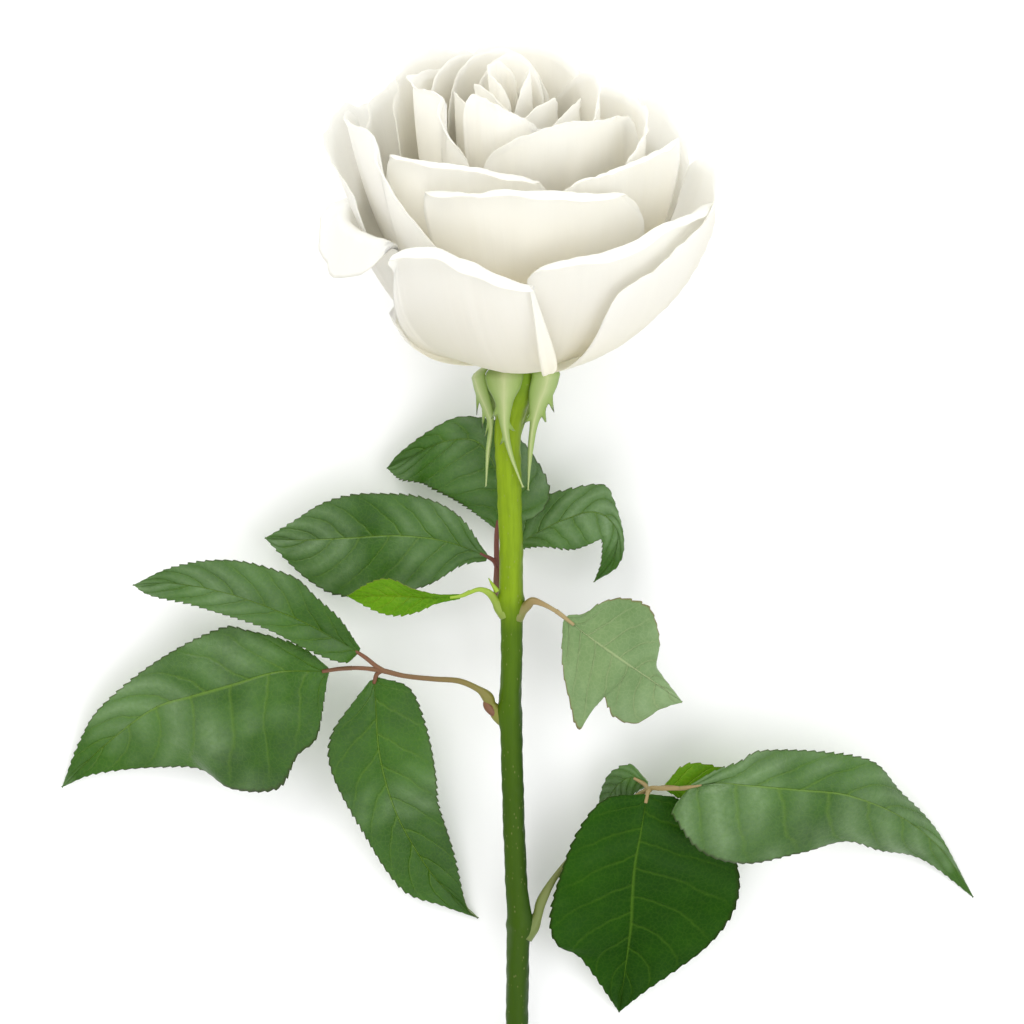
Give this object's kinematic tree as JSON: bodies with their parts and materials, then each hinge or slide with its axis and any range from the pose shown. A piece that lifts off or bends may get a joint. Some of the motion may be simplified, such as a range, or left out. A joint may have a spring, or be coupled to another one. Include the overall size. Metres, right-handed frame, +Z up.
{
  "type": "cut rose",
  "caption": "Cut garden rose lying on its side: an open cupped bloom of spiralled ruffled petals, hip with sepals, bare stem with a slanting cut, serrated compound leaves",
  "frame": {"origin": "Centre of the bottom of the whole flower's box, on the surface it lies on.", "axes": "+Z up from the surface, +Y along the stem towards the bloom, +X to the right of the flower seen from above with the bloom away from the viewer."},
  "size_m": [0.238, 0.3148, 0.088],
  "materials": {
    "petal_outer": "satin",
    "petal_inner": "satin",
    "leaf": "satin",
    "young_leaf": "satin",
    "leaf_underside": "matte",
    "sepal": "matte",
    "stem": "satin",
    "stalk": "satin"
  },
  "bodies": {
    "root": {"petal_01": "petal_outer", "petal_02": "petal_outer", "petal_03": "petal_outer", "petal_04": "petal_outer", "petal_05": "petal_outer", "petal_06": "petal_outer", "petal_07": "petal_outer", "petal_08": "petal_outer", "petal_09": "petal_outer", "petal_10": "petal_outer", "petal_11": "petal_outer", "petal_12": "petal_outer", "petal_13": "petal_inner", "petal_14": "petal_inner", "petal_15": "petal_inner", "petal_16": "petal_inner", "petal_17": "petal_inner", "petal_18": "petal_inner", "petal_19": "petal_inner", "petal_20": "petal_inner", "petal_21": "petal_inner", "petal_22": "petal_inner", "petal_23": "petal_inner", "petal_24": "petal_inner", "petal_25": "petal_inner", "petal_26": "petal_inner", "petal_27": "petal_inner", "petal_28": "petal_inner", "petal_29": "petal_inner", "petal_30": "petal_inner", "petal_31": "petal_inner", "petal_32": "petal_inner", "leaf_a_leaflet_1": "leaf", "leaf_a_leaflet_2": "leaf", "leaf_a_leaflet_3": "leaf", "leaf_b_leaflet_1": "leaf", "leaf_b_leaflet_2": "leaf", "leaf_b_leaflet_3": "leaf", "leaf_e_leaflet_1": "leaf", "leaf_e_leaflet_2": "leaf", "leaf_e_leaflet_3": "leaf", "leaf_e_leaflet_4": "leaf", "leaf_c_blade": "young_leaf", "leaf_d_blade": "leaf_underside", "leaf_a_stalk": "stalk", "leaf_b_stalk": "stalk", "leaf_c_stalk": "stalk", "leaf_d_stalk": "stalk", "leaf_e_stalk": "stalk", "sepal_1": "sepal", "sepal_2": "sepal", "sepal_3": "sepal", "sepal_4": "sepal", "sepal_5": "sepal", "stem": "stem"}
  },
  "joints": []
}
